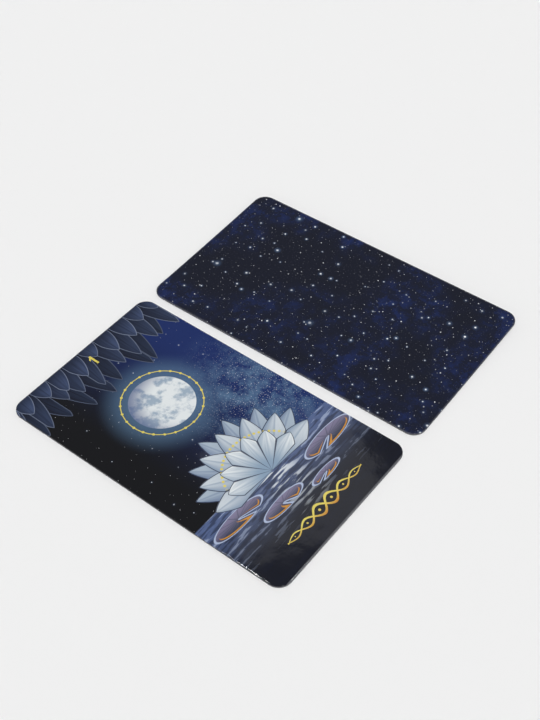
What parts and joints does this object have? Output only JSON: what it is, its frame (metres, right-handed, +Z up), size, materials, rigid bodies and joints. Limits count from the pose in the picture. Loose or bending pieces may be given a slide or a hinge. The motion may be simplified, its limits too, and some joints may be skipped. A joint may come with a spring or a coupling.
{
  "type": "oracle cards",
  "caption": "Laminated oracle cards with rounded corners and a rolled die-cut edge, lying side by side face up and face down, to be dealt, spread and turned over on a table.",
  "frame": {"origin": "on the table, under the middle of the box around both cards", "axes": "+X across the cards from the face-up card to the face-down card, +Y along the cards towards the top end of the face-up card, +Z up"},
  "size_m": [0.1454, 0.121, 0.0009],
  "materials": {
    "face_print": "clear gloss laminating film over a night-blue print with pale and gold motifs",
    "back_print": "clear gloss laminating film over a near-black starry print",
    "sheet": "coated paper, seen only as the grey fibrous cut edge",
    "core": "dark opaque glue line between the sheets"
  },
  "bodies": {
    "face_up_card": {"face_up_face_film": "face_print", "face_up_face_sheet": "sheet", "face_up_core": "core", "face_up_back_sheet": "sheet", "face_up_back_film": "back_print"},
    "face_down_card": {"face_down_face_film": "face_print", "face_down_face_sheet": "sheet", "face_down_core": "core", "face_down_back_sheet": "sheet", "face_down_back_film": "back_print"}
  },
  "joints": [
    {"name": "card_slide", "type": "slide", "parent": "face_up_card", "child": "face_down_card", "axis": [1, 0, 0], "range_m": [-0.0034, 0.0746]}
  ]
}
